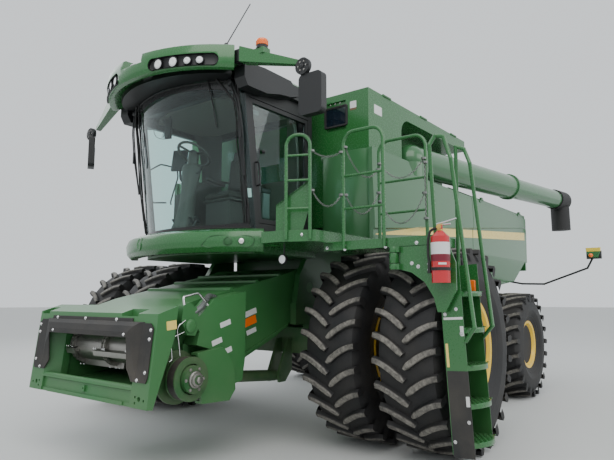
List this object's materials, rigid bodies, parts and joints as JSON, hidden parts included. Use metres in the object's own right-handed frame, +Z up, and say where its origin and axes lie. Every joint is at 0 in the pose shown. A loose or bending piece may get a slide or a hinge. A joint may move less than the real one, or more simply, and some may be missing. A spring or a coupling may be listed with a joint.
{
  "type": "combine harvester",
  "caption": "Self-propelled combine harvester with dual front wheels, glazed cab, tilting feeder house, side ladder, covered grain tank and a folding unloading auger.",
  "frame": {"origin": "on the ground under the middle of the machine", "axes": "+X forward, +Y to the machine's left, +Z up"},
  "size_m": [9.595, 6.1688, 4.7624],
  "materials": {
    "body_green": "gloss",
    "frame_green": "satin",
    "rim_yellow": "gloss",
    "tyre": "matt, dusty",
    "black_plastic": "textured",
    "glass": "tinted",
    "lamp_clear": "clear",
    "lamp_amber": "amber",
    "seat_fabric": "woven",
    "cab_plastic": "grained",
    "steel": "worn",
    "chrome_rod": "polished",
    "red_paint": "gloss",
    "cast": "cast",
    "rubber": "matt"
  },
  "bodies": {
    "chassis": {"main_frame": "frame_green", "front_axle": "frame_green", "rear_axle": "frame_green", "threshing_body": "frame_green", "engine_block": "cast", "rear_body": "body_green", "chopper": "frame_green", "grain_tank": "body_green", "side_panel_left": "body_green", "side_panel_right": "body_green", "cab_frame": "black_plastic", "cab_glass": "glass", "cab_floor": "black_plastic", "fascia": "body_green", "roof": "body_green", "roof_liner": "black_plastic", "white_lamps": "lamp_clear", "amber_lamps": "lamp_amber", "antenna": "black_plastic", "mirrors": "black_plastic", "seat": "seat_fabric", "seat_base": "cab_plastic", "steering_column": "cab_plastic", "platform": "body_green", "handrails": "body_green", "lamp_arms": "black_plastic"},
    "front_wheels_left": {"front_tyres_left": "tyre", "front_rims_left": "rim_yellow"},
    "front_wheels_right": {"front_tyres_right": "tyre", "front_rims_right": "rim_yellow"},
    "knuckle_left": {"knuckle_left": "frame_green"},
    "knuckle_right": {"knuckle_right": "frame_green"},
    "rear_wheel_left": {"rear_tyre_left": "tyre", "rear_rim_left": "rim_yellow"},
    "rear_wheel_right": {"rear_tyre_right": "tyre", "rear_rim_right": "rim_yellow"},
    "steering_rod": {"steering_rod": "steel"},
    "feeder": {"feeder_house": "body_green", "feeder_frame": "body_green", "feeder_surround": "rubber", "feeder_conveyor": "steel", "feeder_shield": "body_green"},
    "lift_barrels": {"lift_barrels": "frame_green"},
    "lift_rods": {"lift_rods": "chrome_rod"},
    "header_drive": {"header_drive": "frame_green"},
    "auger": {"auger_tube": "body_green", "auger_spout": "rubber"},
    "cab_door": {"cab_door": "black_plastic", "door_glass": "glass"},
    "ladder": {"ladder": "body_green", "ladder_guard": "black_plastic", "extinguisher": "red_paint"},
    "tank_cover_left": {"tank_cover_left": "body_green"},
    "tank_cover_right": {"tank_cover_right": "body_green"},
    "side_door_left": {"side_door_left": "body_green"},
    "cooling_door": {"cooling_door": "body_green"},
    "rotary_screen": {"rotary_screen": "black_plastic"},
    "spreader_left": {"spreader_left": "steel"},
    "spreader_right": {"spreader_right": "steel"}
  },
  "joints": [
    {"name": "front_left_spin", "type": "hinge", "parent": "chassis", "child": "front_wheels_left", "pos_m": [2.25181, 1.637, 1], "axis": [0, 1, 0], "continuous": true},
    {"name": "front_right_spin", "type": "hinge", "parent": "chassis", "child": "front_wheels_right", "pos_m": [2.25181, -1.637, 1], "axis": [0, 1, 0], "continuous": true},
    {"name": "steer_left", "type": "hinge", "parent": "chassis", "child": "knuckle_left", "pos_m": [-1.34819, 1.37, 0.79], "axis": [0, 0, 1], "range_deg": [-35, 35]},
    {"name": "steer_right", "type": "hinge", "parent": "chassis", "child": "knuckle_right", "pos_m": [-1.34819, -1.37, 0.79], "axis": [0, 0, 1], "range_deg": [-35.1, 35.1]},
    {"name": "steer_slide", "type": "slide", "parent": "chassis", "child": "steering_rod", "axis": [0, 1, 0], "range_m": [-0.16, 0.16]},
    {"name": "rear_left_spin", "type": "hinge", "parent": "knuckle_left", "child": "rear_wheel_left", "pos_m": [-1.34819, 1.88, 0.79], "axis": [0, 1, 0], "continuous": true},
    {"name": "rear_right_spin", "type": "hinge", "parent": "knuckle_right", "child": "rear_wheel_right", "pos_m": [-1.34819, -1.88, 0.79], "axis": [0, 1, 0], "continuous": true},
    {"name": "feeder_lift", "type": "hinge", "parent": "chassis", "child": "feeder", "pos_m": [2.40181, 0, 1.62], "axis": [0, -1, 0], "range_deg": [-10, 15]},
    {"name": "lift_barrel_tilt", "type": "hinge", "parent": "chassis", "child": "lift_barrels", "pos_m": [2.55181, 0, 0.6], "axis": [0, -1, 0], "range_deg": [-10.4, 15.6]},
    {"name": "lift_rod_slide", "type": "slide", "parent": "lift_barrels", "child": "lift_rods", "axis": [0.9963, 0, 0.0854], "range_m": [-0.18, 0.27]},
    {"name": "header_drive_spin", "type": "hinge", "parent": "feeder", "child": "header_drive", "pos_m": [4.31681, 0.9, 0.8], "axis": [0, 1, 0], "continuous": true},
    {"name": "auger_swing", "type": "hinge", "parent": "chassis", "child": "auger", "pos_m": [1.10181, 1.48, 3.3], "axis": [0, 0, -1], "range_deg": [0, 105]},
    {"name": "door_swing", "type": "hinge", "parent": "chassis", "child": "cab_door", "pos_m": [2.53481, 0.902, 2.97], "axis": [0, 0, 1], "range_deg": [0, 80]},
    {"name": "ladder_swing", "type": "hinge", "parent": "chassis", "child": "ladder", "pos_m": [3.25681, 2.4, 1.845], "axis": [0, 0, -1], "range_deg": [0, 90]},
    {"name": "cover_left_lift", "type": "hinge", "parent": "chassis", "child": "tank_cover_left", "pos_m": [0.75181, 1.54, 3.945], "axis": [1, 0, 0], "range_deg": [-115, 0]},
    {"name": "cover_right_lift", "type": "hinge", "parent": "chassis", "child": "tank_cover_right", "pos_m": [0.75181, -1.54, 3.945], "axis": [1, 0, 0], "range_deg": [0, 115]},
    {"name": "side_door_lift", "type": "hinge", "parent": "chassis", "child": "side_door_left", "pos_m": [-1.74819, 1.702, 3.025], "axis": [1, 0, 0], "range_deg": [0, 75]},
    {"name": "cooling_door_swing", "type": "hinge", "parent": "chassis", "child": "cooling_door", "pos_m": [-0.49319, -1.724, 2.4], "axis": [0, 0, 1], "range_deg": [0, 75]},
    {"name": "screen_spin", "type": "hinge", "parent": "cooling_door", "child": "rotary_screen", "pos_m": [-1.35819, -1.69, 2.44], "axis": [0, 1, 0], "continuous": true},
    {"name": "spreader_left_spin", "type": "hinge", "parent": "chassis", "child": "spreader_left", "pos_m": [-3.06319, 0.33, 1.27], "axis": [0, 0, 1], "continuous": true},
    {"name": "spreader_right_spin", "type": "hinge", "parent": "chassis", "child": "spreader_right", "pos_m": [-3.06319, -0.33, 1.27], "axis": [0, 0, 1], "continuous": true}
  ],
  "couplings": [
    {"joint": "steer_right", "follows": "steer_left", "ratio": 1},
    {"joint": "steer_slide", "follows": "steer_left", "m_per_rad": -0.244},
    {"joint": "lift_barrel_tilt", "follows": "feeder_lift", "ratio": 1.03},
    {"joint": "lift_rod_slide", "follows": "feeder_lift", "m_per_rad": 1.02}
  ]
}
